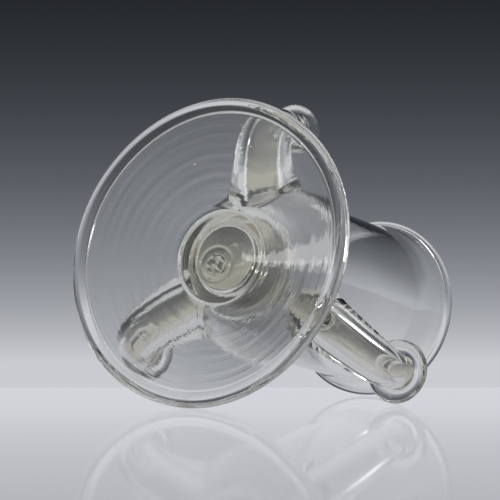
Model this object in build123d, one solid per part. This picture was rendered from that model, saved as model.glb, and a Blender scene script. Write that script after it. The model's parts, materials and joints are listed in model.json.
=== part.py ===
"""A free-blown glass vessel: a bowl on a short stem and a folded foot, with three upturned spouts.

The origin is the centre of the ring that the foot rests on, +Z is up, and sizes are in millimetres.
Each piece is one gather of glass, as the glassmaker adds it, so neighbours meet face to face at their welds.
"""

from build123d import *

import os
from math import atan2, tan

# Foot: a low cone of glass with its rim folded under.
FOOT_RADIUS = 60.0
FOOT_RIM_HEIGHT = 5.4
FOOT_RIM_WIDTH = 6.0
FOOT_REST_WIDTH = 1.6
FOOT_RISE = 11.0
FOOT_EDGE_THICKNESS = 2.6
FOOT_CENTRE_THICKNESS = 4.2
PONTIL_RADIUS = 4.4
PONTIL_HEIGHT = 1.0
PONTIL_OFFSET = 3.4
PONTIL_AZIMUTH = -60.0

# Stem: a waisted spool between the foot and a flat collar under the bowl.
STEM_FOOT_RADIUS = 19.4
STEM_WAIST_RADIUS = 13.4
STEM_HEIGHT = 12.0
COLLAR_RADIUS = 21.5
COLLAR_HEIGHT = 4.0

# Bowl: a round-shouldered cylinder, open at the top, with a turned-out lip.
BOWL_RADIUS = 32.4
BOWL_WALL = 2.4
BOWL_HEIGHT = 102.6
BOWL_FLOOR = 4.2
BOWL_SHOULDER_RADIUS = 12.0
BOWL_SEAT_RADIUS = 18.0
LIP_RADIUS = 36.7
LIP_HEIGHT = 17.0
LIP_THICKNESS = 3.0

# Spouts: tubes that leave the bowl's base, sag or rise, taper, and turn up beside it. They are made by eye,
# so each has its own direction, reach, knee height, mouth height and lip size.
SPOUT_AZIMUTHS = (3.5, 118.2, 244.6)
SPOUT_REACHES = (62.7, 58.9, 64.1)
SPOUT_KNEE_HEIGHTS = (33.0, 29.0, 42.0)
SPOUT_MOUTH_HEIGHTS = (55.0, 59.8, 62.8)
SPOUT_LIP_WIDTHS = (4.4, 4.1, 5.3)
SPOUT_ROOT_HEIGHT = 11.5
SPOUT_ROOT_INSET = 10.0
SPOUT_ROOT_RADIUS = 12.0
SPOUT_ROOT_BORE = 6.0
NECK_RADIUS = 7.2
NECK_BORE = 4.5
NECK_LENGTH = 5.6
SPOUT_LIP_HEIGHT = 5.6
MOUTH_SETBACK = 0.6

# The bowl was set a little crooked on its foot: all above the foot leans about the origin.
LEAN_ANGLE = 3.6
LEAN_AZIMUTH = 143.0
WELD_DEPTH = 3.0

# Levels where one piece stops and the next begins.
STEM_LEVEL = FOOT_RISE + FOOT_CENTRE_THICKNESS
COLLAR_LEVEL = STEM_LEVEL + STEM_HEIGHT
BOWL_LEVEL = COLLAR_LEVEL + COLLAR_HEIGHT
BOWL_TOP = BOWL_LEVEL + BOWL_HEIGHT
BOWL_INNER_RADIUS = BOWL_RADIUS - BOWL_WALL
SPOUT_LEVEL = BOWL_LEVEL + SPOUT_ROOT_HEIGHT
SPOUT_SECTIONS = 7


def turned(corners):
    """The solid made by turning an outline about Z. A corner is (radius, height, rounding)."""
    face = make_face(Polyline(*[(r, z) for r, z, _ in corners], close=True))
    for r, z, rounding in corners:
        if rounding:
            corner = face.vertices().sort_by_distance((r, z, 0))[0]
            face = fillet(corner, rounding)
    return revolve(Plane.XZ * face, Axis.Z)


def foot():
    """The foot, with a flat ring to rest on under its folded rim."""
    rim_inside = FOOT_RADIUS - FOOT_RIM_WIDTH
    rest_outside = FOOT_RADIUS - (FOOT_RIM_WIDTH - FOOT_REST_WIDTH) / 2
    rest_inside = rest_outside - FOOT_REST_WIDTH
    under = FOOT_RIM_HEIGHT - FOOT_EDGE_THICKNESS - 0.4
    return turned([
        (0, FOOT_RISE, 0),
        (PONTIL_OFFSET + PONTIL_RADIUS + 3, FOOT_RISE, 25),
        (rim_inside, under, 2.0),
        (rest_inside, 0, 1.0),
        (rest_outside, 0, 0.8),
        (FOOT_RADIUS, FOOT_RIM_HEIGHT * 0.35, 1.8),
        (FOOT_RADIUS, FOOT_RIM_HEIGHT * 0.7, 1.4),
        (FOOT_RADIUS - FOOT_RIM_WIDTH / 2, FOOT_RIM_HEIGHT, 2.0),
        (rim_inside, under + FOOT_EDGE_THICKNESS, 3.0),
        (STEM_FOOT_RADIUS + 0.8, STEM_LEVEL, 6),
        (0, STEM_LEVEL, 0),
    ])


def pontil_mark():
    """The button of glass left under the foot, off its centre, where the pontil rod broke away."""
    low = FOOT_RISE - PONTIL_HEIGHT
    place = Rot(0, 0, PONTIL_AZIMUTH) * Pos(PONTIL_OFFSET, 0, 0)
    return place * turned([
        (0, FOOT_RISE, 0),
        (0, low, 0),
        (PONTIL_RADIUS, low, PONTIL_HEIGHT * 0.6),
        (PONTIL_RADIUS, FOOT_RISE, 0),
    ])


def stem():
    """The solid spool of the stem, deep enough at its base to reach the foot all round."""
    waist = STEM_LEVEL + STEM_HEIGHT * 0.55
    waist_half = STEM_HEIGHT / 6
    base_round = STEM_HEIGHT / 5
    top_lean = atan2(BOWL_SEAT_RADIUS - STEM_WAIST_RADIUS, COLLAR_LEVEL - waist - waist_half)
    top_round = min(STEM_HEIGHT / 3, 1.1 * waist_half / tan(top_lean / 2))
    base = STEM_LEVEL - WELD_DEPTH
    return turned([
        (0, base, 0),
        (STEM_FOOT_RADIUS, base, 0),
        (STEM_FOOT_RADIUS, STEM_LEVEL + base_round, waist_half),
        (STEM_WAIST_RADIUS, waist - waist_half, base_round),
        (STEM_WAIST_RADIUS, waist + waist_half, top_round),
        (BOWL_SEAT_RADIUS, COLLAR_LEVEL, 0),
        (0, COLLAR_LEVEL, 0),
    ])


def collar():
    """The flat round collar that joins the stem to the bowl."""
    edge = COLLAR_HEIGHT * 0.46
    return turned([
        (0, COLLAR_LEVEL, 0),
        (COLLAR_RADIUS, COLLAR_LEVEL, edge),
        (COLLAR_RADIUS, BOWL_LEVEL, edge),
        (0, BOWL_LEVEL, 0),
    ])


def bowl_outside():
    """The bowl's outer shape, solid."""
    return turned([
        (0, BOWL_LEVEL, 0),
        (BOWL_SEAT_RADIUS, BOWL_LEVEL, 2),
        (BOWL_RADIUS, BOWL_LEVEL + 5.5, BOWL_SHOULDER_RADIUS),
        (BOWL_RADIUS, BOWL_TOP - LIP_HEIGHT, 60),
        (LIP_RADIUS, BOWL_TOP - LIP_THICKNESS / 2, 0.8),
        (LIP_RADIUS - 0.4, BOWL_TOP, 1.2),
        (0, BOWL_TOP, 0),
    ])


def bowl_inside():
    """The space in the bowl."""
    floor = BOWL_LEVEL + BOWL_FLOOR
    lip_inside = LIP_RADIUS - LIP_THICKNESS
    return turned([
        (0, floor + 0.6, 0),
        (8, floor + 0.4, 8),
        (BOWL_INNER_RADIUS, floor + 3.0, BOWL_SHOULDER_RADIUS - BOWL_WALL),
        (BOWL_INNER_RADIUS, BOWL_TOP - LIP_HEIGHT, 60),
        (lip_inside, BOWL_TOP - 1.2, 3),
        (lip_inside + 1.2, BOWL_TOP + 1, 0),
        (0, BOWL_TOP + 1, 0),
    ])


def tube(reach, knee_height, top, root_radius, neck_radius, root_share):
    """A round bar in the XZ plane that bends from the bowl's wall to a straight upright neck.

    Its centre line is the parabola from the root towards the knee and up to the neck, and its
    first section has root_share of the root's radius.
    """
    neck_start = top - NECK_LENGTH
    root = (BOWL_RADIUS - SPOUT_ROOT_INSET, SPOUT_LEVEL)
    circles = []
    for step in range(SPOUT_SECTIONS):
        t = step / (SPOUT_SECTIONS - 1)
        out = (1 - t) ** 2 * root[0] + (1 - (1 - t) ** 2) * reach
        up = (1 - t) ** 2 * root[1] + 2 * t * (1 - t) * knee_height + t**2 * neck_start
        along = (
            (1 - t) * (reach - root[0]),
            0,
            (1 - t) * (knee_height - root[1]) + t * (neck_start - knee_height),
        )
        radius = root_radius + (neck_radius - root_radius) * t
        if step == 0:
            radius *= root_share
        circles.append(Plane(origin=(out, 0, up), x_dir=(0, 1, 0), z_dir=along) * Circle(radius))
    upward = (Align.CENTER, Align.CENTER, Align.MIN)
    neck = Pos(reach, 0, neck_start) * Cylinder(neck_radius, top - neck_start, align=upward)
    return loft(circles) + neck


def spout_parts(reach, knee_height, mouth_height, lip_width):
    """One spout's outer bar, its bore and its lip ring, along +X."""
    low = mouth_height - SPOUT_LIP_HEIGHT / 2
    high = mouth_height + SPOUT_LIP_HEIGHT / 2
    top = high - MOUTH_SETBACK
    outside = tube(reach, knee_height, top, SPOUT_ROOT_RADIUS, NECK_RADIUS, 0.72)
    bore = tube(reach, knee_height, top, SPOUT_ROOT_BORE, NECK_BORE, 1.0)
    mouth = Pos(reach, 0, top - 1) * Cylinder(NECK_BORE, 2, align=(Align.CENTER, Align.CENTER, Align.MIN))
    edge = SPOUT_LIP_HEIGHT * 0.47
    ring = turned([
        (NECK_RADIUS, low, 0.8),
        (NECK_RADIUS + lip_width, low, edge),
        (NECK_RADIUS + lip_width, high, edge),
        (NECK_RADIUS, high, MOUTH_SETBACK),
    ])
    return outside, bore + mouth, Pos(reach, 0, 0) * ring


def build():
    """Every piece by the name of its node."""
    envelope = bowl_outside()
    bowl = envelope - bowl_inside()
    upper = {"stem": stem(), "collar": collar()}
    sizes = zip(SPOUT_AZIMUTHS, SPOUT_REACHES, SPOUT_KNEE_HEIGHTS, SPOUT_MOUTH_HEIGHTS, SPOUT_LIP_WIDTHS)
    for number, (azimuth, *shape) in enumerate(sizes, 1):
        outside, bore, ring = (Rot(0, 0, azimuth) * part for part in spout_parts(*shape))
        bowl = bowl - bore
        upper[f"spout_{number}"] = outside - bore - envelope - upper["collar"]
        upper[f"spout_lip_{number}"] = ring
    upper["bowl"] = bowl
    lean = Rot(0, 0, LEAN_AZIMUTH) * Rot(0, LEAN_ANGLE, 0) * Rot(0, 0, -LEAN_AZIMUTH)
    pieces = {"foot": foot(), "pontil_mark": pontil_mark()}
    pieces.update({name: lean * piece for name, piece in upper.items()})
    pieces["stem"] = pieces["stem"] - pieces["foot"]
    return pieces


os.makedirs("parts", exist_ok=True)
for name, piece in build().items():
    export_step(piece, f"parts/{name}.step")
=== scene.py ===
import json
from math import atan2, ceil, cos, exp, hypot, pi, radians, sin, tan

import bpy
import numpy as np
from mathutils import Matrix, Vector


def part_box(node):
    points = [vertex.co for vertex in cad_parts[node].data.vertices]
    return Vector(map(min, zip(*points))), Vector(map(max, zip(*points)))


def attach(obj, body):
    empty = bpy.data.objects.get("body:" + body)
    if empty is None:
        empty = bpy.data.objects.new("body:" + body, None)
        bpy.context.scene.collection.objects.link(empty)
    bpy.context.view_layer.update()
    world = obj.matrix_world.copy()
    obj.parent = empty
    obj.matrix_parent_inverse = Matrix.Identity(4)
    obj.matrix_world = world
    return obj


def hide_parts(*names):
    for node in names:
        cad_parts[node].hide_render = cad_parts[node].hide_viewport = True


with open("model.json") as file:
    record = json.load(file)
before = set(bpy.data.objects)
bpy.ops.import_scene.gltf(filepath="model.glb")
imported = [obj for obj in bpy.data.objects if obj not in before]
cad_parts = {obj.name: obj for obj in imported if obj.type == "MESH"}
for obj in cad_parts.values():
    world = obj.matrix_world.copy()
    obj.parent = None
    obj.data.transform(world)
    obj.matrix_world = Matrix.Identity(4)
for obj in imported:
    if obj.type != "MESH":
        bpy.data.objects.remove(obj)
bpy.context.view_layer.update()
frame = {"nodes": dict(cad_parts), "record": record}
mounts = {mount["name"]: mount for mount in frame["record"]["mounts"]}

# Sizes are in millimetres until a mesh is made.
MM = 0.001
TURNS = 192
SPOUT_TURNS = 96
ON_AXIS = 1e-6

# Foot
FOOT_RIM_HEIGHT = 5.4
FOOT_RIM_WIDTH = 6.0
FOOT_REST_WIDTH = 1.6
FOOT_EDGE_THICKNESS = 2.6
FOOT_RISE = 11.0
STEM_FOOT_RADIUS = 19.4
PONTIL_BED = 0.3
FOLD_DEPTH = 0.35
FOOT_CROWN_RADIUS = 10.8
FOOT_STEP = 0.4
FOOT_TURNS = 240

# Stem and bowl
STEM_WAIST_RADIUS = 13.4
SEAT_RADIUS = 18.0
BOWL_WALL = 2.4
BOWL_FLOOR = 4.2
SHOULDER_RADIUS = 12.0
LIP_HEIGHT = 17.0
LIP_THICKNESS = 3.0
LIP_INSIDE_DROP = 1.2
BOWL_FLARE_ROUNDING = 60
FINE_STEP = 0.6

# Spouts: the knee is the corner that the centre line's parabola bends towards.
KNEE_HEIGHTS = {"spout_1": 33.0, "spout_2": 29.0, "spout_3": 42.0}
SPOUT_ROOT_INSET = 10.0
SPOUT_ROOT_HEIGHT = 11.5
SPOUT_ROOT_RADIUS = 12.0
SPOUT_ROOT_BORE = 6.0
NECK_RADIUS = 7.2
WELD_FLARE = 2.2
WELD_FLARE_REACH = 3.0
RECESS = 0.3
PINCH_REACH = 0.16
ROOT_PINCH = 0.28
TUBE_STEPS = 110
ROOT_STEPS = 12
CROSSING_RANGE = (-0.1, 0.6)
HALVINGS = 24
BORE_START = -0.12
BORE_EXTRA_STEPS = 12
LIP_RING_SEAT = 0.4
LIP_RING_STEPS = 48
LIP_RING_UNEVEN = 0.12
ANGLES = np.linspace(0, 2 * pi, SPOUT_TURNS, endpoint=False)

# How a bore opens at its mouth: rows of height above the mouth and extra radius.
MOUTH_ROUNDING = ((-1.2, 0), (-0.7, 0.08), (-0.3, 0.35), (0.05, 0.95), (0.4, 1.6))
# How a tube's end is rounded: rows of height above the mouth and lost radius.
END_ROUNDING = ((-0.15, 0.12), (0, 0.45))


# ---------------------------------------------------------------- the leaning frame, above the foot

lean = Vector((0, 0, 1)).rotation_difference(Vector(mounts["bowl_bore"]["axis"])).to_matrix()
LEAN = np.array(lean)


def leaning_points(node):
    """A CAD node's points in the leaning frame, in millimetres."""
    mesh = frame["nodes"][node].data
    points = np.empty(len(mesh.vertices) * 3)
    mesh.vertices.foreach_get("co", points)
    return points.reshape(-1, 3) @ LEAN / MM


def leaning_span(node):
    """A coaxial CAD node's lowest and highest level and largest radius in the leaning frame."""
    points = leaning_points(node)
    return points[:, 2].min(), points[:, 2].max(), np.hypot(points[:, 0], points[:, 1]).max()


pontil_low, pontil_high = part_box("pontil_mark")
PONTIL_PLACE = [(low + high) / 2 / MM for low, high in zip(pontil_low[:2], pontil_high[:2])]
PONTIL_RING = 6.6
FOOT_RADIUS = (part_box("foot")[1][0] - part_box("foot")[0][0]) / 2 / MM
STEM_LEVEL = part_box("foot")[1][2] / MM
COLLAR_LEVEL, BOWL_LEVEL, COLLAR_RADIUS = leaning_span("collar")
BOWL_LEVEL, BOWL_TOP, LIP_RADIUS = leaning_span("bowl")
BOWL_INNER_RADIUS = mounts["bowl_bore"]["dims"]["r_mm"]
BOWL_RADIUS = BOWL_INNER_RADIUS + BOWL_WALL

# Which way is down when it lies on its side: round the axis, and how far the axis slopes down to the mouth.
DOWN_AZIMUTH = radians(-60)
AXIS_SLOPE = radians(13.35)


# ---------------------------------------------------------------- outlines

ARC_STEP = radians(7)


def rounded(corners, step=0.9):
    """Points along an outline of (radius, height, rounding, tag) corners, with arcs at the rounded ones.

    A tag names the material from that corner on. Returns (radius, height, tag) points.
    """
    out = []
    last = len(corners) - 1
    for k, (r, z, rounding, tag) in enumerate(corners):
        here = np.array((r, z), float)
        if not rounding or k in (0, last):
            piece = [here]
        else:
            before = np.array(corners[k - 1][:2], float) - here
            after = np.array(corners[k + 1][:2], float) - here
            before /= np.linalg.norm(before)
            after /= np.linalg.norm(after)
            half = np.arccos(np.clip(before @ after, -1, 1)) / 2
            reach = rounding / tan(half)
            middle = (before + after) / np.linalg.norm(before + after)
            centre = here + middle * rounding / sin(half)
            start, end = here + before * reach - centre, here + after * reach - centre
            count = max(3, ceil((pi - 2 * half) / ARC_STEP), ceil((pi - 2 * half) * rounding / step))
            turn = np.arctan2(start[0] * end[1] - start[1] * end[0], start @ end)
            piece = []
            for i in range(count + 1):
                a = turn * i / count
                spun = (start[0] * cos(a) - start[1] * sin(a), start[0] * sin(a) + start[1] * cos(a))
                piece.append(centre + spun)
        if out:
            gap = piece[0] - np.array(out[-1][:2])
            count = max(1, ceil(np.linalg.norm(gap) / step))
            old = np.array(out[-1][:2])
            for i in range(1, count):
                out.append((*(old + gap * i / count), out[-1][2]))
        before_tag = out[-1][2] if out else tag
        for point in piece[:-1]:
            out.append((*point, before_tag))
        out.append((*piece[-1], tag))
    return out


def wall_distance(wall, r, z):
    """Signed distance from points to a wall outline that starts and ends on the axis, positive outside."""
    a, b = wall[:-1, None], wall[1:, None]
    p = np.stack([r, z], -1)[None]
    along = np.clip(((p - a) * (b - a)).sum(-1) / np.maximum(((b - a) ** 2).sum(-1), 1e-12), 0, 1)
    near = np.linalg.norm(p - a - along[..., None] * (b - a), axis=-1).min(0)
    above = (a[..., 1] > p[..., 1]) != (b[..., 1] > p[..., 1])
    rise = np.where(above, b[..., 1] - a[..., 1], 1)
    crossing = a[..., 0] + (p[..., 1] - a[..., 1]) / rise * (b[..., 0] - a[..., 0])
    inside = (above & (crossing > p[..., 0])).sum(0) % 2 == 1
    return np.where(inside, -near, near)


# ---------------------------------------------------------------- meshes

# The uneven hand: rows of a wave's radians per millimetre, its phase, and its push in millimetres.
WAVES = (
    ((0.031, 0.017, 0.052), 0.4, (0.30, 0.10, 0.05)),
    ((-0.045, 0.050, 0.021), 2.1, (0.08, 0.26, 0.06)),
    ((0.062, 0.058, -0.040), 4.0, (0.14, -0.12, 0.05)),
    ((0.115, -0.090, 0.070), 1.3, (0.05, 0.05, 0.03)),
)


def handmade(points):
    """Points moved a little by slow waves through space, the same for every piece, so that welds meet."""
    moved = points.copy()
    for wave, phase, push in WAVES:
        moved += np.sin(points @ np.array(wave) + phase)[:, None] * np.array(push)
    return moved


def make_mesh(name, points, faces, tags, materials):
    """An object from points in millimetres, with one material for each face's tag."""
    mesh = bpy.data.meshes.new(name)
    mesh.from_pydata((handmade(np.array(points)) * MM).tolist(), [], faces)
    names = list(materials)
    for tag in names:
        mesh.materials.append(materials[tag])
    mesh.polygons.foreach_set("material_index", [names.index(tag) for tag in tags])
    mesh.polygons.foreach_set("use_smooth", [True] * len(faces))
    mesh.update()
    piece = bpy.data.objects.new(name, mesh)
    bpy.context.collection.objects.link(piece)
    return piece


def revolved(outline, shift=None, turns=TURNS):
    """Points, faces and tags of an outline turned about Z.

    shift(radius, angle, height) gives how far a point moves outwards and up.
    """
    points, faces, tags, rings = [], [], [], []
    for r, z, _ in outline:
        if r < ON_AXIS:
            rings.append([len(points)] * turns)
            points.append((0.0, 0.0, z))
            continue
        ring = []
        for i in range(turns):
            a = 2 * pi * i / turns
            dr, dz = shift(r, a, z) if shift else (0, 0)
            ring.append(len(points))
            points.append(((r + dr) * cos(a), (r + dr) * sin(a), z + dz))
        rings.append(ring)
    for low, high, (_, _, tag) in zip(rings, rings[1:], outline):
        for i in range(turns):
            j = (i + 1) % turns
            faces.append(list(dict.fromkeys((low[i], low[j], high[j], high[i]))))
            tags.append(tag)
    return points, faces, tags


def clamped(value):
    return min(1.0, max(0.0, value))


def groove(distance, width):
    """The share of a smooth dip's depth at a distance from its middle."""
    return exp(-(distance / width) ** 2)


def leaned(points):
    return np.array(points) @ LEAN.T


def closed_rings(rings, tags):
    """Points, faces and tags of a tube-shaped skin: a list of rings, the last joined to the first."""
    turns = len(rings[0])
    points = [tuple(p) for ring in rings for p in ring]
    faces, face_tags = [], []
    for k, tag in enumerate(tags):
        low, high = k * turns, (k + 1) % len(rings) * turns
        for i in range(turns):
            j = (i + 1) % turns
            faces.append((low + i, low + j, high + j, high + i))
            face_tags.append(tag)
    return points, faces, face_tags


def cut(piece, cutters):
    """Takes closed cutters out of a piece, applies the cut and removes the cutters."""
    for cutter in cutters:
        modifier = piece.modifiers.new("cut", "BOOLEAN")
        modifier.operation = "DIFFERENCE"
        modifier.solver = "EXACT"
        modifier.material_mode = "TRANSFER"
        modifier.object = cutter
    bpy.context.view_layer.update()
    evaluated = piece.evaluated_get(bpy.context.evaluated_depsgraph_get())
    done = bpy.data.meshes.new_from_object(evaluated)
    piece.modifiers.clear()
    old, piece.data = piece.data, done
    done.name = piece.name
    bpy.data.meshes.remove(old)
    for cutter in cutters:
        bpy.data.objects.remove(cutter)


def crease_borders(piece):
    """Marks edges between two materials as sharp, so a hidden weld doesn't bend the shading beside it."""
    mesh = piece.data
    owners = {}
    for face in mesh.polygons:
        for key in face.edge_keys:
            owners.setdefault(key, set()).add(face.material_index)
    sharp = [len(owners.get(tuple(sorted(edge.vertices)), ())) > 1 for edge in mesh.edges]
    attribute = mesh.attributes.get("sharp_edge") or mesh.attributes.new("sharp_edge", "BOOLEAN", "EDGE")
    attribute.data.foreach_set("value", sharp)


# ---------------------------------------------------------------- materials

GLASS_IOR = 1.55
TINT = (0.99, 0.99, 0.985)
BORE_TINT = (0.995, 0.99, 0.985)
TINT_DIP = 0.97
DEPTH_COLOUR = (0.80, 0.78, 0.68, 1)
DEPTH_DENSITY = 4.5
HAZE = (0.0, 0.012)
BORE_HAZE = (0.0, 0.1)
SMUDGE_EDGES = (0.35, 0.7)

# Striae: how fine they are across, in metres, and how quickly they change round the axis.
STRIA_WIDTH = 0.0012
STRIA_SPREAD = 1.6

# The rusty mark sits low on the foot's rim, where it touches the table.
STAIN_EDGES = (0.0005, 0.0045)
STAIN_COLOUR = (0.30, 0.12, 0.05, 1)
STAIN = (
    FOOT_RADIUS * MM * cos(DOWN_AZIMUTH),
    FOOT_RADIUS * MM * sin(DOWN_AZIMUTH),
    FOOT_RIM_HEIGHT * MM / 3,
)


def add(nodes, kind, **inputs):
    node = nodes.new(kind)
    for key, value in inputs.items():
        node.inputs[key.replace("_", " ")].default_value = value
    return node


def operator(nodes, kind, operation):
    node = nodes.new(kind)
    node.operation = operation
    return node


def mapped(nodes, start, end, low=0.0, high=1.0):
    """A node that maps start to low and end to high."""
    return add(nodes, "ShaderNodeMapRange", From_Min=start, From_Max=end, To_Min=low, To_Max=high)


def colour_mix(nodes, **colours):
    """A node that mixes two colours, A and B, with those given here fixed."""
    node = nodes.new("ShaderNodeMix")
    node.data_type = "RGBA"
    for key, colour in colours.items():
        node.inputs[key].default_value = colour
    return node


def glass(name, tint, ripple, spun=0.0, stain=None, haze=HAZE):
    """Clear lead glass: slow waviness, and fine striae that run round it where it was spun."""
    material = bpy.data.materials.new(name)
    material.use_nodes = True
    nodes, links = material.node_tree.nodes, material.node_tree.links
    shader = nodes["Principled BSDF"]
    shader.inputs["Transmission Weight"].default_value = 1.0
    shader.inputs["IOR"].default_value = GLASS_IOR
    place = nodes.new("ShaderNodeTexCoord")
    cords = add(nodes, "ShaderNodeTexNoise", Scale=55.0, Detail=1.0, Roughness=0.5, Distortion=0.8)
    links.new(place.outputs["Object"], cords.inputs["Vector"])
    bump = add(nodes, "ShaderNodeBump", Strength=ripple, Distance=0.0004)
    links.new(cords.outputs["Fac"], bump.inputs["Height"])
    depth = add(nodes, "ShaderNodeVolumeAbsorption", Color=DEPTH_COLOUR, Density=DEPTH_DENSITY)
    links.new(depth.outputs["Volume"], nodes["Material Output"].inputs["Volume"])
    last = bump
    if spun:
        last = add(nodes, "ShaderNodeBump", Strength=spun, Distance=0.0002)
        links.new(spun_noise(nodes, links, place), last.inputs["Height"])
        links.new(bump.outputs["Normal"], last.inputs["Normal"])
    links.new(last.outputs["Normal"], shader.inputs["Normal"])
    shade = colour_mix(nodes, A=(*tint, 1), B=(*[TINT_DIP * c for c in tint], 1))
    links.new(cords.outputs["Fac"], shade.inputs["Factor"])
    links.new(shade.outputs["Result"], shader.inputs["Base Color"])
    if stain:
        stained(nodes, links, place, stain, shade, shader)
    smudge = add(nodes, "ShaderNodeTexNoise", Scale=90.0, Detail=6.0, Roughness=0.7)
    links.new(place.outputs["Object"], smudge.inputs["Vector"])
    polish = mapped(nodes, *SMUDGE_EDGES, *haze)
    links.new(smudge.outputs["Fac"], polish.inputs["Value"])
    links.new(polish.outputs["Result"], shader.inputs["Roughness"])
    return material


def stained(nodes, links, place, spot, shade, shader):
    """A small rusty mark on the glass, blotchy and strongest at its middle."""
    away = operator(nodes, "ShaderNodeVectorMath", "DISTANCE")
    away.inputs[1].default_value = spot
    links.new(place.outputs["Object"], away.inputs[0])
    reach = mapped(nodes, *STAIN_EDGES, 1.0, 0.0)
    links.new(away.outputs["Value"], reach.inputs["Value"])
    blotch = add(nodes, "ShaderNodeTexNoise", Scale=700.0, Detail=3.0)
    links.new(place.outputs["Object"], blotch.inputs["Vector"])
    amount = operator(nodes, "ShaderNodeMath", "MULTIPLY")
    links.new(reach.outputs["Result"], amount.inputs[0])
    links.new(blotch.outputs["Fac"], amount.inputs[1])
    rusty = colour_mix(nodes, B=STAIN_COLOUR)
    links.new(amount.outputs["Value"], rusty.inputs["Factor"])
    links.new(shade.outputs["Result"], rusty.inputs["A"])
    links.new(rusty.outputs["Result"], shader.inputs["Base Color"])


def spun_noise(nodes, links, place):
    """Noise that changes quickly with the distance from the axis and slowly round it."""
    flat = operator(nodes, "ShaderNodeVectorMath", "MULTIPLY")
    flat.inputs[1].default_value = (1, 1, 0)
    links.new(place.outputs["Object"], flat.inputs[0])
    radius = operator(nodes, "ShaderNodeVectorMath", "LENGTH")
    links.new(flat.outputs["Vector"], radius.inputs[0])
    around = operator(nodes, "ShaderNodeVectorMath", "NORMALIZE")
    links.new(flat.outputs["Vector"], around.inputs[0])
    spread = operator(nodes, "ShaderNodeVectorMath", "SCALE")
    spread.inputs["Scale"].default_value = STRIA_SPREAD
    links.new(around.outputs["Vector"], spread.inputs[0])
    across = operator(nodes, "ShaderNodeMath", "MULTIPLY")
    across.inputs[1].default_value = 1 / STRIA_WIDTH
    links.new(radius.outputs["Value"], across.inputs[0])
    lift = nodes.new("ShaderNodeCombineXYZ")
    links.new(across.outputs["Value"], lift.inputs["Z"])
    both = operator(nodes, "ShaderNodeVectorMath", "ADD")
    links.new(spread.outputs["Vector"], both.inputs[0])
    links.new(lift.outputs["Vector"], both.inputs[1])
    noise = add(nodes, "ShaderNodeTexNoise", Scale=1.0, Detail=3.0, Roughness=0.55)
    links.new(both.outputs["Vector"], noise.inputs["Vector"])
    return noise.outputs["Fac"]


def weld_material():
    """The hidden face where two gathers are one body of glass: light goes straight through."""
    material = bpy.data.materials.new("weld")
    material.use_nodes = True
    material.node_tree.nodes["Principled BSDF"].inputs["Alpha"].default_value = 0.0
    return material


weld = weld_material()
foot_glass = glass("foot_glass", TINT, 0.05, 0.20, STAIN)
bowl_glass = glass("bowl_glass", TINT, 0.05)
stem_glass = glass("stem_glass", TINT, 0.08)
spout_glass = glass("spout_glass", TINT, 0.035)
bore_glass = glass("bore_glass", BORE_TINT, 0.10, haze=BORE_HAZE)


# ---------------------------------------------------------------- foot

RINGS_START = 20
RINGS_FADE_IN = 4
RINGS_FADE_OUT = 3
BROAD_HEIGHT, BROAD_PITCH = 0.020, 6.3
FINE_HEIGHT, FINE_PITCH = 0.012, 3.7
SEAM_SHARE, SEAM_WIDTH = 0.52, 0.35
FOLD_OVERLAP, FOLD_WIDTH = 0.7, 0.5
FOLD_INSIDE_RADIUS = 45
ROD_PRESS, ROD_WIDTH = 0.28, 0.8


def ridges(r, a, z):
    """Rings that the tool leaves as the foot is spun, the seam and edge of the fold, and the rod's print."""
    inside = clamped((FOOT_RADIUS - FOOT_RIM_WIDTH - 1 - r) / RINGS_FADE_OUT)
    inside *= clamped((r - RINGS_START) / RINGS_FADE_IN)
    wander = r + 0.8 * sin(a) + 0.5 * sin(2 * a + 1.0)
    broad = BROAD_HEIGHT * sin(2 * pi * wander / BROAD_PITCH + 0.6 * sin(a))
    fine = FINE_HEIGHT * sin(2 * pi * wander / FINE_PITCH + 2 * a)
    lift = (broad + fine) * inside * (0.7 + 0.3 * sin(2 * a + 0.1 * r))
    seam = FOLD_DEPTH * groove(z - FOOT_RIM_HEIGHT * SEAM_SHARE, SEAM_WIDTH) if r > FOOT_RADIUS - 1 else 0.0
    if z > FOOT_RIM_HEIGHT * 0.75 and r > FOLD_INSIDE_RADIUS:
        lift -= FOLD_DEPTH * groove(r - FOOT_RADIUS + FOOT_RIM_WIDTH - FOLD_OVERLAP, FOLD_WIDTH)
    away = hypot(r * cos(a) - PONTIL_PLACE[0], r * sin(a) - PONTIL_PLACE[1])
    if z < STEM_LEVEL - 2:
        lift -= ROD_PRESS * groove(away - PONTIL_RING, ROD_WIDTH)
    return -seam, lift


# Seeds are small bubbles: radius and azimuth of the place, length round the foot, width and thickness.
SEEDS = (
    (38.0, 100, 1.5, 0.7, 0.5), (50.5, 128, 1.0, 0.5, 0.4), (47.0, 62, 0.8, 0.5, 0.4),
    (30.0, 200, 0.7, 0.4, 0.35), (44.0, 250, 0.6, 0.4, 0.35), (52.0, 10, 0.9, 0.5, 0.4),
    (51.0, 335, 1.3, 0.5, 0.45), (36.0, 310, 0.5, 0.35, 0.3), (26.0, 35, 0.6, 0.4, 0.3),
)
SEED_TURNS = 14


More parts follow.
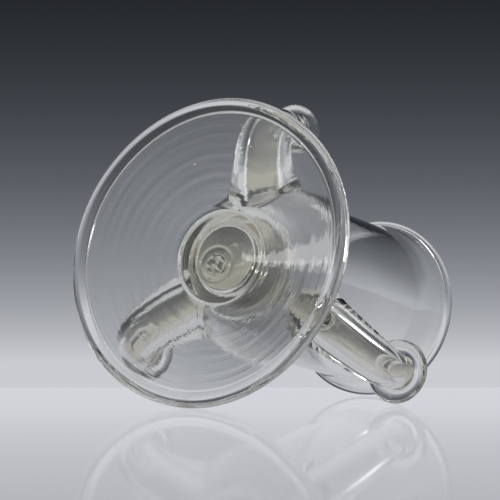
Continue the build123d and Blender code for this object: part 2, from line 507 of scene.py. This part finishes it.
def add_seed(seed, points, faces, tags):
    """A bubble as a small skin that faces inwards, midway through the foot."""
    place, azimuth, length, width, thick = seed
    azimuth = radians(azimuth)
    run = FOOT_RADIUS - FOOT_RIM_WIDTH - FOOT_CROWN_RADIUS
    slope = (FOOT_RISE - FOOT_RIM_HEIGHT + FOOT_EDGE_THICKNESS) / run
    level = FOOT_RISE - (place - FOOT_CROWN_RADIUS) * slope + FOOT_EDGE_THICKNESS * 0.6
    first = len(points)
    rows = SEED_TURNS // 2
    for k in range(rows + 1):
        b = pi * k / rows
        for i in range(SEED_TURNS):
            c = 2 * pi * i / SEED_TURNS
            x, y = place + width / 2 * sin(b) * cos(c), length / 2 * cos(b)
            z = level + thick / 2 * sin(b) * sin(c)
            points.append((x * cos(azimuth) - y * sin(azimuth), x * sin(azimuth) + y * cos(azimuth), z))
    for k in range(rows):
        for i in range(SEED_TURNS):
            j = (i + 1) % SEED_TURNS
            low, high = first + k * SEED_TURNS, first + (k + 1) * SEED_TURNS
            faces.append((low + i, high + i, high + j, low + j))
            tags.append("glass")


def foot():
    rim_inside = FOOT_RADIUS - FOOT_RIM_WIDTH
    rest_outside = FOOT_RADIUS - (FOOT_RIM_WIDTH - FOOT_REST_WIDTH) / 2
    rest_inside = rest_outside - FOOT_REST_WIDTH
    under = FOOT_RIM_HEIGHT - FOOT_EDGE_THICKNESS - 0.4
    outline = rounded([
        (0, FOOT_RISE, 0, "glass"),
        (FOOT_CROWN_RADIUS, FOOT_RISE, 25, "glass"),
        (rim_inside, under, 2.0, "glass"),
        (rest_inside, 0, 1.0, "glass"),
        (rest_outside, 0, 0.8, "glass"),
        (FOOT_RADIUS, FOOT_RIM_HEIGHT * 0.35, 1.8, "glass"),
        (FOOT_RADIUS, FOOT_RIM_HEIGHT * 0.7, 1.4, "glass"),
        (FOOT_RADIUS - FOOT_RIM_WIDTH / 2, FOOT_RIM_HEIGHT, 2.0, "glass"),
        (rim_inside, under + FOOT_EDGE_THICKNESS, 3.0, "glass"),
        (STEM_FOOT_RADIUS + 0.8, STEM_LEVEL, 6, "glass"),
        (STEM_FOOT_RADIUS, STEM_LEVEL, 0, "weld"),
        (0, STEM_LEVEL, 0, "weld"),
    ], FOOT_STEP)
    points, faces, tags = revolved(outline, ridges, FOOT_TURNS)
    for seed in SEEDS:
        add_seed(seed, points, faces, tags)
    return make_mesh("foot_blown", points, faces, tags, {"glass": foot_glass, "weld": weld})


# ---------------------------------------------------------------- stem, collar and bowl

STEM_CORE = 5
TOOL_FADE = 1.5
TOOL_DEPTH, TOOL_PITCH = 0.11, 1.9
TOOL_SLOW_DEPTH, TOOL_SLOW_PITCH = 0.07, 3.1


def tooled(r, a, z):
    """Fine rings round the stem, from the tool that necked it in. They fade towards its two ends."""
    if r <= STEM_CORE:
        return 0, 0
    inside = clamped((z - STEM_LEVEL) / TOOL_FADE) * clamped((COLLAR_LEVEL - z) / TOOL_FADE)
    quick = TOOL_DEPTH * sin(2 * pi * z / TOOL_PITCH + 0.5 * sin(a))
    slow = TOOL_SLOW_DEPTH * sin(2 * pi * z / TOOL_SLOW_PITCH + a)
    return inside * (quick + slow), 0.0


def stem():
    """The stem stands square on the foot and ends square to the leaning collar."""
    height = COLLAR_LEVEL - STEM_LEVEL
    waist = STEM_LEVEL + height * 0.55
    outline = rounded([
        (0, STEM_LEVEL, 0, "weld"),
        (STEM_FOOT_RADIUS, STEM_LEVEL, 0, "glass"),
        (STEM_FOOT_RADIUS, STEM_LEVEL + height / 5, height / 6, "glass"),
        (STEM_WAIST_RADIUS, waist - height / 6, height / 5, "glass"),
        (STEM_WAIST_RADIUS, waist + height / 6, height / 3, "glass"),
        (SEAT_RADIUS, COLLAR_LEVEL, 0, "weld"),
        (0, COLLAR_LEVEL, 0, "weld"),
    ], FINE_STEP)
    points, faces, tags = revolved(outline, tooled)
    points = np.array(points)
    share = np.clip((points[:, 2:3] - STEM_LEVEL) / height, 0, 1)
    points = points * (1 - share) + leaned(points) * share
    return make_mesh("stem_blown", points, faces, tags, {"glass": stem_glass, "weld": weld})


def collar():
    edge = (BOWL_LEVEL - COLLAR_LEVEL) * 0.46
    outline = rounded([
        (0, COLLAR_LEVEL, 0, "weld"),
        (SEAT_RADIUS, COLLAR_LEVEL, 0, "glass"),
        (COLLAR_RADIUS, COLLAR_LEVEL, edge, "glass"),
        (COLLAR_RADIUS, BOWL_LEVEL, edge, "glass"),
        (SEAT_RADIUS, BOWL_LEVEL, 0, "weld"),
        (0, BOWL_LEVEL, 0, "weld"),
    ], FINE_STEP)
    points, faces, tags = revolved(outline)
    return make_mesh("collar_blown", leaned(points), faces, tags, {"glass": stem_glass, "weld": weld})


def bowl_walls():
    """The bowl's outer and inner outlines, each from the bottom up."""
    floor = BOWL_LEVEL + BOWL_FLOOR
    lip_inside = LIP_RADIUS - LIP_THICKNESS
    outer = rounded([
        (0, BOWL_LEVEL, 0, "weld"),
        (SEAT_RADIUS, BOWL_LEVEL, 0, "glass"),
        (SEAT_RADIUS + 1.5, BOWL_LEVEL + 0.6, 1.2, "glass"),
        (BOWL_RADIUS, BOWL_LEVEL + 5.5, SHOULDER_RADIUS, "glass"),
        (BOWL_RADIUS, BOWL_TOP - LIP_HEIGHT, BOWL_FLARE_ROUNDING, "glass"),
        (LIP_RADIUS - 1.4, BOWL_TOP - 4.6, 1.6, "glass"),
        (LIP_RADIUS, BOWL_TOP - 3.4, 0.9, "glass"),
        (LIP_RADIUS, BOWL_TOP, 1.5, "glass"),
        (lip_inside + 0.8, BOWL_TOP, 1.0, "glass"),
        (lip_inside, BOWL_TOP - LIP_INSIDE_DROP, 0, "glass"),
    ])
    inner = rounded([
        (0, floor + 0.3, 0, "glass"),
        (8, floor + 0.4, 8, "glass"),
        (BOWL_INNER_RADIUS, floor + 3.0, SHOULDER_RADIUS - BOWL_WALL, "glass"),
        (BOWL_INNER_RADIUS, BOWL_TOP - LIP_HEIGHT, BOWL_FLARE_ROUNDING, "glass"),
        (lip_inside, BOWL_TOP - LIP_INSIDE_DROP, 0, "glass"),
    ])
    return outer, inner


BOWL_OUTER, BOWL_INNER = bowl_walls()
OUTER_WALL = np.array([point[:2] for point in BOWL_OUTER] + [(0, BOWL_TOP)])

# The shares of the bowl's height where its waves begin and end, and over which they fade.
WAVES_FROM, WAVES_FADE_IN = 0.28, 0.15
WAVES_TO, WAVES_FADE_OUT = 0.86, 0.1


def wall_waves(r, a, z):
    """Slow changes in the wall's thickness, on the inside."""
    if r > BOWL_INNER_RADIUS + 0.5:
        return 0.0
    height = (z - BOWL_LEVEL) / (BOWL_TOP - BOWL_LEVEL)
    fade = clamped((height - WAVES_FROM) / WAVES_FADE_IN) * clamped((WAVES_TO - height) / WAVES_FADE_OUT)
    waves = 0.05 * sin(2 * a + 3 * height) + 0.02 * sin(5 * a - 7 * height) + 0.012 * sin(17 * height)
    return fade * waves


def bowl(cutters):
    outside, inside = BOWL_OUTER[:-1], BOWL_INNER[::-1]
    points, faces, tags = revolved(outside + [(r, z, "glass") for r, z, _ in inside])
    points = np.array(points)
    radius, angle = np.hypot(points[:, 0], points[:, 1]), np.arctan2(points[:, 1], points[:, 0])
    first = sum(1 if r < ON_AXIS else TURNS for r, _, _ in outside)
    for k in range(first, len(points)):
        out = wall_waves(radius[k], angle[k], points[k, 2])
        points[k, 0] += out * cos(angle[k])
        points[k, 1] += out * sin(angle[k])
    piece = make_mesh("bowl_blown", leaned(points), faces, tags, {"glass": bowl_glass, "weld": weld})
    cut(piece, cutters)
    return piece


# ---------------------------------------------------------------- spouts

class Spout:
    """One spout's centre line and skins, along its own azimuth in the leaning frame."""

    def __init__(self, name):
        mouth = mounts[f"{name}_mouth"]
        x, y, middle = (np.array(mouth["pos_m"]) / MM) @ LEAN
        self.name = name
        self.azimuth = atan2(y, x)
        self.reach = hypot(x, y)
        self.bore = mouth["dims"]["r_mm"]
        self.top = middle + mouth["dims"]["length_mm"] / 2
        self.neck_start = middle - mouth["dims"]["length_mm"] / 2
        self.knee = KNEE_HEIGHTS[name]
        self.root = (BOWL_RADIUS - SPOUT_ROOT_INSET, BOWL_LEVEL + SPOUT_ROOT_HEIGHT)
        lip = leaning_points(name.replace("spout", "spout_lip"))
        self.lip_low, self.lip_high = lip[:, 2].min(), lip[:, 2].max()
        self.lip_radius = np.hypot(lip[:, 0] - x, lip[:, 1] - y).max()

    def ring(self, t, root_radius, neck_radius, pinch=0.0, flare=0.0):
        """The skin's ring at t, which may differ from angle to angle.

        The root is pinched to stay inside the bowl's rounded bottom, and it flares where it meets the wall.
        """
        t = np.broadcast_to(t, ANGLES.shape)
        out = (1 - t) ** 2 * self.root[0] + (1 - (1 - t) ** 2) * self.reach
        up = (1 - t) ** 2 * self.root[1] + 2 * t * (1 - t) * self.knee + t**2 * self.neck_start
        run = (1 - t) * (self.reach - self.root[0])
        rise = (1 - t) * (self.knee - self.root[1]) + t * (self.neck_start - self.knee)
        length = np.hypot(run, rise)
        radius = root_radius + (neck_radius - root_radius) * np.clip(t, 0, 1)
        radius = radius * (1 - pinch * np.clip(1 - t / PINCH_REACH, 0, 1) ** 1.5)
        for extra in (flare, 0):
            x = out - rise / length * radius * np.sin(ANGLES)
            y = radius * np.cos(ANGLES)
            z = up + run / length * radius * np.sin(ANGLES)
            if extra:
                away = np.abs(wall_distance(OUTER_WALL, np.hypot(x, y), z))
                radius = radius + extra * np.exp(-away / WELD_FLARE_REACH)
        return np.stack([x, y, z], 1)

    def crossing(self, depth, *tube):
        """Where along the tube each line of its skin is this far outside the bowl's wall."""
        low, high = (np.full(SPOUT_TURNS, t) for t in CROSSING_RANGE)
        for _ in range(HALVINGS):
            t = (low + high) / 2
            x, y, z = self.ring(t, *tube).T
            inside = wall_distance(OUTER_WALL, np.hypot(x, y), z) < depth
            low, high = np.where(inside, t, low), np.where(inside, high, t)
        return (low + high) / 2

    def level_ring(self, radius, height):
        """A ring square to the neck."""
        flat = np.stack([self.reach - radius * np.sin(ANGLES), radius * np.cos(ANGLES)], 1)
        return np.column_stack([flat, np.full(SPOUT_TURNS, height)])

    def placed(self, points):
        """Points turned to the spout's azimuth and leaned with the bowl."""
        c, s = cos(self.azimuth), sin(self.azimuth)
        x, y, z = np.array(points).T
        return leaned(np.column_stack([x * c - y * s, x * s + y * c, z]))

    def skin(self, name, rings, tags, materials):
        """A closed solid through rings, with a fan at each end. tags has one more entry than rings."""
        count = len(rings) * SPOUT_TURNS
        points = self.placed(np.vstack([*rings, rings[0].mean(0)[None], rings[-1].mean(0)[None]]))
        faces, face_tags = [], []
        last = count - SPOUT_TURNS
        for i in range(SPOUT_TURNS):
            j = (i + 1) % SPOUT_TURNS
            faces.append((count, j, i))
            faces.append((count + 1, last + i, last + j))
            face_tags += [tags[0], tags[-1]]
            for k, tag in enumerate(tags[1:-1]):
                low, high = k * SPOUT_TURNS, (k + 1) * SPOUT_TURNS
                faces.append((low + i, low + j, high + j, high + i))
                face_tags.append(tag)
        return make_mesh(name, points, faces, face_tags, materials)

    def outside(self, steps, side_tag):
        """The rings of the tube's outside, from a shallow recess in the bowl's wall up by some steps."""
        tube = (SPOUT_ROOT_RADIUS, NECK_RADIUS, ROOT_PINCH, WELD_FLARE)
        sunk, root = self.crossing(-RECESS, *tube), self.crossing(0, *tube)
        rings, tags = [self.ring(sunk, *tube)], ["weld", "weld"]
        for k in range(steps + 1):
            share = k / TUBE_STEPS
            rings.append(self.ring(root + (1 - root) * share, *tube))
            tags.append(side_tag)
        return rings, tags

    def bore_cutter(self):
        """The bore, from inside the bowl to above the mouth, with softened rims."""
        tube = (SPOUT_ROOT_BORE, self.bore)
        rings = [self.ring(t, *tube) for t in np.linspace(BORE_START, 1, TUBE_STEPS + BORE_EXTRA_STEPS)]
        for rise, spread in MOUTH_ROUNDING:
            rings.append(self.level_ring(self.bore + spread, self.top + rise))
        return self.skin("bore", rings, ["glass"] * (len(rings) + 1), {"glass": bore_glass})

    def root_cutter(self):
        """The recess that the tube sits in."""
        rings, tags = self.outside(ROOT_STEPS, "weld")
        return self.skin("root", rings, tags, {"weld": weld})

    def tube(self):
        rings, tags = self.outside(TUBE_STEPS, "glass")
        rings.append(self.level_ring(NECK_RADIUS, self.lip_low + LIP_RING_SEAT))
        rings.append(self.level_ring(NECK_RADIUS, self.top - LIP_RING_SEAT))
        tags += ["weld", "glass"]
        for rise, inset in END_ROUNDING:
            rings.append(self.level_ring(NECK_RADIUS - inset, self.top + rise))
            tags.append("glass")
        piece = self.skin(f"{self.name}_drawn", rings, tags, {"glass": spout_glass, "weld": weld})
        cut(piece, [self.bore_cutter()])
        return piece

    def lip(self):
        """The thick ring that was trailed round the mouth, a little uneven."""
        half = (self.lip_high - self.lip_low) / 2
        middle = (self.lip_high + self.lip_low) / 2
        depth = self.lip_radius - NECK_RADIUS
        rings = []
        for k in range(LIP_RING_STEPS + 1):
            a = -pi / 2 + pi * k / LIP_RING_STEPS
            bulge = abs(cos(a)) ** 0.72
            radius = NECK_RADIUS + depth * bulge + LIP_RING_UNEVEN * np.sin(2 * ANGLES + 1.3 * a) * bulge
            height = middle + half * (np.sign(sin(a)) * abs(sin(a)) ** 0.86)
            if k == 0:
                height = self.lip_low + LIP_RING_SEAT
            elif k == LIP_RING_STEPS:
                height = self.top - LIP_RING_SEAT
            rings.append(self.level_ring(radius, height))
        tags = ["glass"] * LIP_RING_STEPS + ["weld"]
        points, faces, face_tags = closed_rings(rings, tags)
        name = self.name.replace("spout", "spout_lip") + "_trailed"
        return make_mesh(name, self.placed(points), faces, face_tags, {"glass": spout_glass, "weld": weld})


spouts = [Spout(name) for name in KNEE_HEIGHTS]


# ---------------------------------------------------------------- pontil mark

PONTIL_STEP = 0.22
PONTIL_TURNS = 96
PONTIL_EDGE = 0.5
BREAK_DEPTH = 0.28
SHELL_PLACE = (3.4, -2.5)


def pontil_skin(name, rough, materials):
    """The scar where the foot was snapped off its rod: a disc, broken below, set into the foot."""
    radius = (pontil_high[0] - pontil_low[0]) / 2 / MM
    level = pontil_low[2] / MM
    outline = rounded([
        (0, level, 0, "glass"),
        (radius - 0.1, level + 0.15, 0.35, "glass"),
        (radius, FOOT_RISE, 0, "weld"),
        (radius, FOOT_RISE + PONTIL_BED, 0, "weld"),
        (0, FOOT_RISE + PONTIL_BED, 0, "weld"),
    ], PONTIL_STEP)

    def broken(r, a, z):
        if not rough or z > FOOT_RISE - 0.05:
            return 0, 0
        px, py = r * cos(a), r * sin(a)
        jag = 0.22 * sin(0.9 * px + 1.3 * py)
        jag = jag + 0.13 * abs(sin(1.6 * px - 0.8 * py + 1)) + 0.10 * abs(sin(1.9 * px + 2.1 * py))
        shell = 0.14 * sin(1.9 * hypot(px - SHELL_PLACE[0], py - SHELL_PLACE[1]))
        return 0, max(0.0, BREAK_DEPTH + jag + shell) * min(1, (radius - r) / PONTIL_EDGE)

    points, faces, tags = revolved(outline, broken, PONTIL_TURNS)
    points = np.array(points) + (*PONTIL_PLACE, 0)
    return make_mesh(name, points, faces, tags, materials)


# ---------------------------------------------------------------- pieces

def keep(piece, node):
    crease_borders(piece)
    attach(piece, "root")
    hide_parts(node)
    return piece


foot_piece = foot()
cut(foot_piece, [pontil_skin("bed", False, {"weld": weld, "glass": weld})])
pieces = [keep(foot_piece, "foot")]
pieces.append(keep(pontil_skin("pontil_broken", True, {"weld": weld, "glass": foot_glass}), "pontil_mark"))
pieces.append(keep(stem(), "stem"))
pieces.append(keep(collar(), "collar"))
roots = [spout.root_cutter() for spout in spouts]
bores = [spout.bore_cutter() for spout in spouts]
pieces.append(keep(bowl(roots + bores), "bowl"))
for spout in spouts:
    pieces.append(keep(spout.tube(), spout.name))
    pieces.append(keep(spout.lip(), spout.name.replace("spout", "spout_lip")))


# ---------------------------------------------------------------- how it lies, and the camera

CAMERA_BEARING = radians(30.70)
CAMERA_PITCH = radians(0.963)
CAMERA_BACK = 0.9397
CAMERA_SIDE = 0.0175
CAMERA_HEIGHT = 0.04325
CAMERA_SENSOR = 36
CAMERA_LENS = 180

axis = Vector((0, 0, 1))
low_side = Vector((cos(DOWN_AZIMUTH), sin(DOWN_AZIMUTH), 0))
up = -(low_side * cos(AXIS_SLOPE) + axis * sin(AXIS_SLOPE))
axis_heading = (axis - up * axis.dot(up)).normalized()
heading = Matrix.Rotation(CAMERA_BEARING, 3, up) @ axis_heading
side = heading.cross(up)
floor_level = min(up.dot(vertex.co) for piece in pieces for vertex in piece.data.vertices)


def lying(forward, sideways, height):
    """A point from its distances ahead of the object, to its right and above the floor."""
    return heading * forward + side * sideways + up * (floor_level + height)


view = heading * cos(CAMERA_PITCH) + up * sin(CAMERA_PITCH)
view_up = up * cos(CAMERA_PITCH) - heading * sin(CAMERA_PITCH)
camera_data = bpy.data.cameras.new("camera")
camera_data.sensor_width = CAMERA_SENSOR
camera_data.lens = CAMERA_LENS
camera = bpy.data.objects.new("camera", camera_data)
bpy.context.collection.objects.link(camera)
turn = Matrix((side, view_up, -view)).transposed().to_4x4()
camera.matrix_world = Matrix.Translation(lying(-CAMERA_BACK, CAMERA_SIDE, CAMERA_HEIGHT)) @ turn
bpy.context.scene.camera = camera


# ---------------------------------------------------------------- floor and backdrop

# Distances ahead of the object and heights above the floor, in metres.
FLOOR_NEAR = -1.6
FLOOR_FAR = 0.194
FLOOR_HALF = 1.2
FLOOR_GLOSS = 0.42
FLOOR_IOR = 1.5
FLOOR_ROUGHNESS = 0.035
BACKDROP_AWAY = 0.50
BACKDROP_HALF = 1.1
BACKDROP_LOW = -0.1
BACKDROP_HIGH = 0.46

# The floor's painted light: the brightness it glows with at three distances ahead of the object, standing in
# for how the studio light falls across the table.
PAINTED_FLOOR_LIGHT = ((-0.46, (172, 173, 178)), (0.0, (188, 189, 194)), (FLOOR_FAR, (184, 185, 190)))

# The backdrop's painted light: its brightness at the floor, the height over which it falls e times as painted
# shade, its limit and its two tints.
PAPER_LIGHT = 0.63
PAPER_FALL = 0.0625
PAPER_MOST = 0.60
PAPER_PALE = (0.98, 1.0, 1.05, 1)
PAPER_SHADE_TINT = (0.88, 1.0, 1.20, 1)
PAPER_SHADE_TINT_HEIGHT = 0.2

# Where the backdrop starts to clear and where it is gone, as shares of its width and height.
PAPER_EDGES = (("X", 0.25, 0.0), ("X", 0.75, 1.0), ("Y", 0.72, 1.0))


def linear(level):
    """A display level from 0 to 255 as scene light."""
    level /= 255
    return level / 12.92 if level <= 0.04045 else ((level + 0.055) / 1.055) ** 2.4


def panel(name, corners, material):
    """A flat stage piece from four (ahead, right, high) corners, the first being the origin of its UV."""
    mesh = bpy.data.meshes.new(name)
    mesh.from_pydata([tuple(lying(*corner)) for corner in corners], [], [(0, 1, 2, 3)])
    mesh.materials.append(material)
    uv = mesh.uv_layers.new(name="across")
    uv.data.foreach_set("uv", [0, 0, 1, 0, 1, 1, 0, 1])
    mesh.update()
    piece = bpy.data.objects.new(name, mesh)
    bpy.context.collection.objects.link(piece)


def soft_step(nodes, links, value, start, end, low=0.0, high=1.0):
    """A smooth change from low to high between two values."""
    step = mapped(nodes, start, end, low, high)
    step.interpolation_type = "SMOOTHSTEP"
    links.new(value, step.inputs["Value"])
    return step.outputs["Result"]


def combined(nodes, links, operation, *values):
    """The result of a maths node whose inputs are other outputs or plain numbers."""
    node = operator(nodes, "ShaderNodeMath", operation)
    for socket, value in zip(node.inputs, values):
        if isinstance(value, (int, float)):
            socket.default_value = value
        else:
            links.new(value, socket)
    return node.outputs["Value"]


def stage_material(name):
    """An empty material, with its nodes, its links and the place across the panel."""
    material = bpy.data.materials.new(name)
    material.use_nodes = True
    nodes, links = material.node_tree.nodes, material.node_tree.links
    nodes.clear()
    place = nodes.new("ShaderNodeUVMap")
    split = nodes.new("ShaderNodeSeparateXYZ")
    links.new(place.outputs["UV"], split.inputs["Vector"])
    return material, nodes, links, split


def shown(nodes, links, surface, unseen):
    """Ends a material that shows a surface, except where it is unseen."""
    clear = nodes.new("ShaderNodeBsdfTransparent")
    mix = nodes.new("ShaderNodeMixShader")
    out = nodes.new("ShaderNodeOutputMaterial")
    links.new(unseen, mix.inputs["Fac"])
    links.new(surface, mix.inputs[1])
    links.new(clear.outputs["BSDF"], mix.inputs[2])
    links.new(mix.outputs["Shader"], out.inputs["Surface"])


def floor_material():
    """A pale table that glows with painted light, brightest where the object lies, dimmer towards the camera
    and a little dimmer beyond, and a polish, seen only from above.
    """
    material, nodes, links, split = stage_material("floor")
    shade = nodes.new("ShaderNodeValToRGB")
    stops = shade.color_ramp.elements
    stops.new(0.5)
    for stop, (ahead, colour) in zip(stops, PAINTED_FLOOR_LIGHT):
        stop.position = (ahead - FLOOR_NEAR) / (FLOOR_FAR - FLOOR_NEAR)
        stop.color = (*[linear(c) for c in colour], 1)
    links.new(split.outputs["Y"], shade.inputs["Fac"])
    # Painted light: the table glows by itself with the brightness listed above instead of being lit.
    glow = nodes.new("ShaderNodeEmission")
    links.new(shade.outputs["Color"], glow.inputs["Color"])
    grazing = add(nodes, "ShaderNodeFresnel", IOR=FLOOR_IOR)
    polish = add(nodes, "ShaderNodeBsdfGlossy", Roughness=FLOOR_ROUGHNESS)
    links.new(combined(nodes, links, "MULTIPLY", grazing.outputs["Fac"], FLOOR_GLOSS), polish.inputs["Color"])
    both = nodes.new("ShaderNodeAddShader")
    links.new(glow.outputs["Emission"], both.inputs[0])
    links.new(polish.outputs["BSDF"], both.inputs[1])
    shown(nodes, links, both.outputs["Shader"], nodes.new("ShaderNodeNewGeometry").outputs["Backfacing"])
    return material


def backdrop_material():
    """Paper that glows with painted light, fading upwards by a constant factor for each step as painted
    shade, and turns a little bluer as it darkens.

    It is seen only from the front, and clears softly at its two sides and its top.
    """
    material, nodes, links, split = stage_material("backdrop")
    rise = split.outputs["Y"]
    height = combined(nodes, links, "MULTIPLY_ADD", rise, BACKDROP_HIGH - BACKDROP_LOW, BACKDROP_LOW)
    fade = combined(nodes, links, "EXPONENT", combined(nodes, links, "DIVIDE", height, -PAPER_FALL))
    light = combined(nodes, links, "MULTIPLY", fade, PAPER_LIGHT)
    # Painted light: the paper glows by itself, brightest at the floor, with painted shade falling off
    # upwards.
    glow = nodes.new("ShaderNodeEmission")
    links.new(combined(nodes, links, "MINIMUM", light, PAPER_MOST), glow.inputs["Strength"])
    tint = colour_mix(nodes, A=PAPER_PALE, B=PAPER_SHADE_TINT)
    links.new(combined(nodes, links, "DIVIDE", height, PAPER_SHADE_TINT_HEIGHT), tint.inputs["Factor"])
    links.new(tint.outputs["Result"], glow.inputs["Color"])
    unseen = nodes.new("ShaderNodeNewGeometry").outputs["Backfacing"]
    for along, start, end in PAPER_EDGES:
        edge = soft_step(nodes, links, split.outputs[along], start, end)
        unseen = combined(nodes, links, "MAXIMUM", unseen, edge)
    shown(nodes, links, glow.outputs["Emission"], unseen)
    return material


panel("floor", [
    (FLOOR_NEAR, -FLOOR_HALF, 0), (FLOOR_NEAR, FLOOR_HALF, 0),
    (FLOOR_FAR, FLOOR_HALF, 0), (FLOOR_FAR, -FLOOR_HALF, 0),
], floor_material())
panel("backdrop", [
    (BACKDROP_AWAY, -BACKDROP_HALF, BACKDROP_LOW), (BACKDROP_AWAY, BACKDROP_HALF, BACKDROP_LOW),
    (BACKDROP_AWAY, BACKDROP_HALF, BACKDROP_HIGH), (BACKDROP_AWAY, -BACKDROP_HALF, BACKDROP_HIGH),
], backdrop_material())


# ---------------------------------------------------------------- light

# Light from around, by the height of its direction: two heights, and the strength at each.
OVERHEAD = (0.42, 0.8, 0.0, 0.48)
GROUND = (-0.12, 0.02, 0.60, 0.0)
WALL = (-0.02, 0.38, 0.42, 0.07)
WALL_FOOT = (-0.12, 0.0, 0.0, 1.0)

# The same to the left, to the right and behind the camera, by how far a direction turns that way.
LEFT = (0.6, 0.95, 0.0, 0.25)
RIGHT = (0.5, 0.95, 0.0, 0.4)
FRONT = (0.2, 0.95, 0.0, 0.42)
SKY_COLOUR = (0.95, 0.98, 1.0, 1)


def studio():
    """Soft light from all round: bright overhead, pale below, dimmer to the sides."""
    world = bpy.data.worlds.new("studio")
    bpy.context.scene.world = world
    world.use_nodes = True
    nodes, links = world.node_tree.nodes, world.node_tree.links
    sky = nodes["Background"]
    place = nodes.new("ShaderNodeTexCoord")

    def lobe(direction, span):
        dot = operator(nodes, "ShaderNodeVectorMath", "DOT_PRODUCT")
        dot.inputs[1].default_value = direction
        links.new(place.outputs["Generated"], dot.inputs[0])
        return soft_step(nodes, links, dot.outputs["Value"], *span)

    wall = combined(nodes, links, "MULTIPLY", lobe(up, WALL), lobe(up, WALL_FOOT))
    total = combined(nodes, links, "ADD", lobe(up, OVERHEAD), lobe(up, GROUND))
    for light in (wall, lobe(-heading, FRONT), lobe(-side, LEFT), lobe(side, RIGHT)):
        total = combined(nodes, links, "ADD", total, light)
    links.new(total, sky.inputs["Strength"])
    sky.inputs["Color"].default_value = SKY_COLOUR


def softbox(name, ahead, right, high, away, size, watts):
    """A soft rectangular lamp that faces the object from a direction in the lying frame."""
    lamp = bpy.data.lights.new(name, "AREA")
    lamp.shape = "RECTANGLE"
    lamp.size, lamp.size_y = size
    lamp.energy = watts
    direction = (heading * ahead + side * right + up * high).normalized()
    facing = direction.to_track_quat("Z", "Y").to_matrix().to_4x4()
    place = bpy.data.objects.new(name, lamp)
    bpy.context.collection.objects.link(place)
    place.matrix_world = Matrix.Translation(direction * away) @ facing
    place.visible_camera = False


studio()
softbox("top_light", 0.35, 0.50, 0.79, 1.3, (0.45, 0.35), 1.5)
softbox("left_light", 0.1, -0.93, 0.35, 1.2, (0.05, 0.8), 0.45)

scene = bpy.context.scene
scene.view_settings.view_transform = "Standard"
scene.cycles.max_bounces = 40
scene.cycles.transmission_bounces = 32
scene.cycles.transparent_max_bounces = 32
scene.cycles.glossy_bounces = 12
scene.cycles.caustics_reflective = True
scene.cycles.caustics_refractive = True
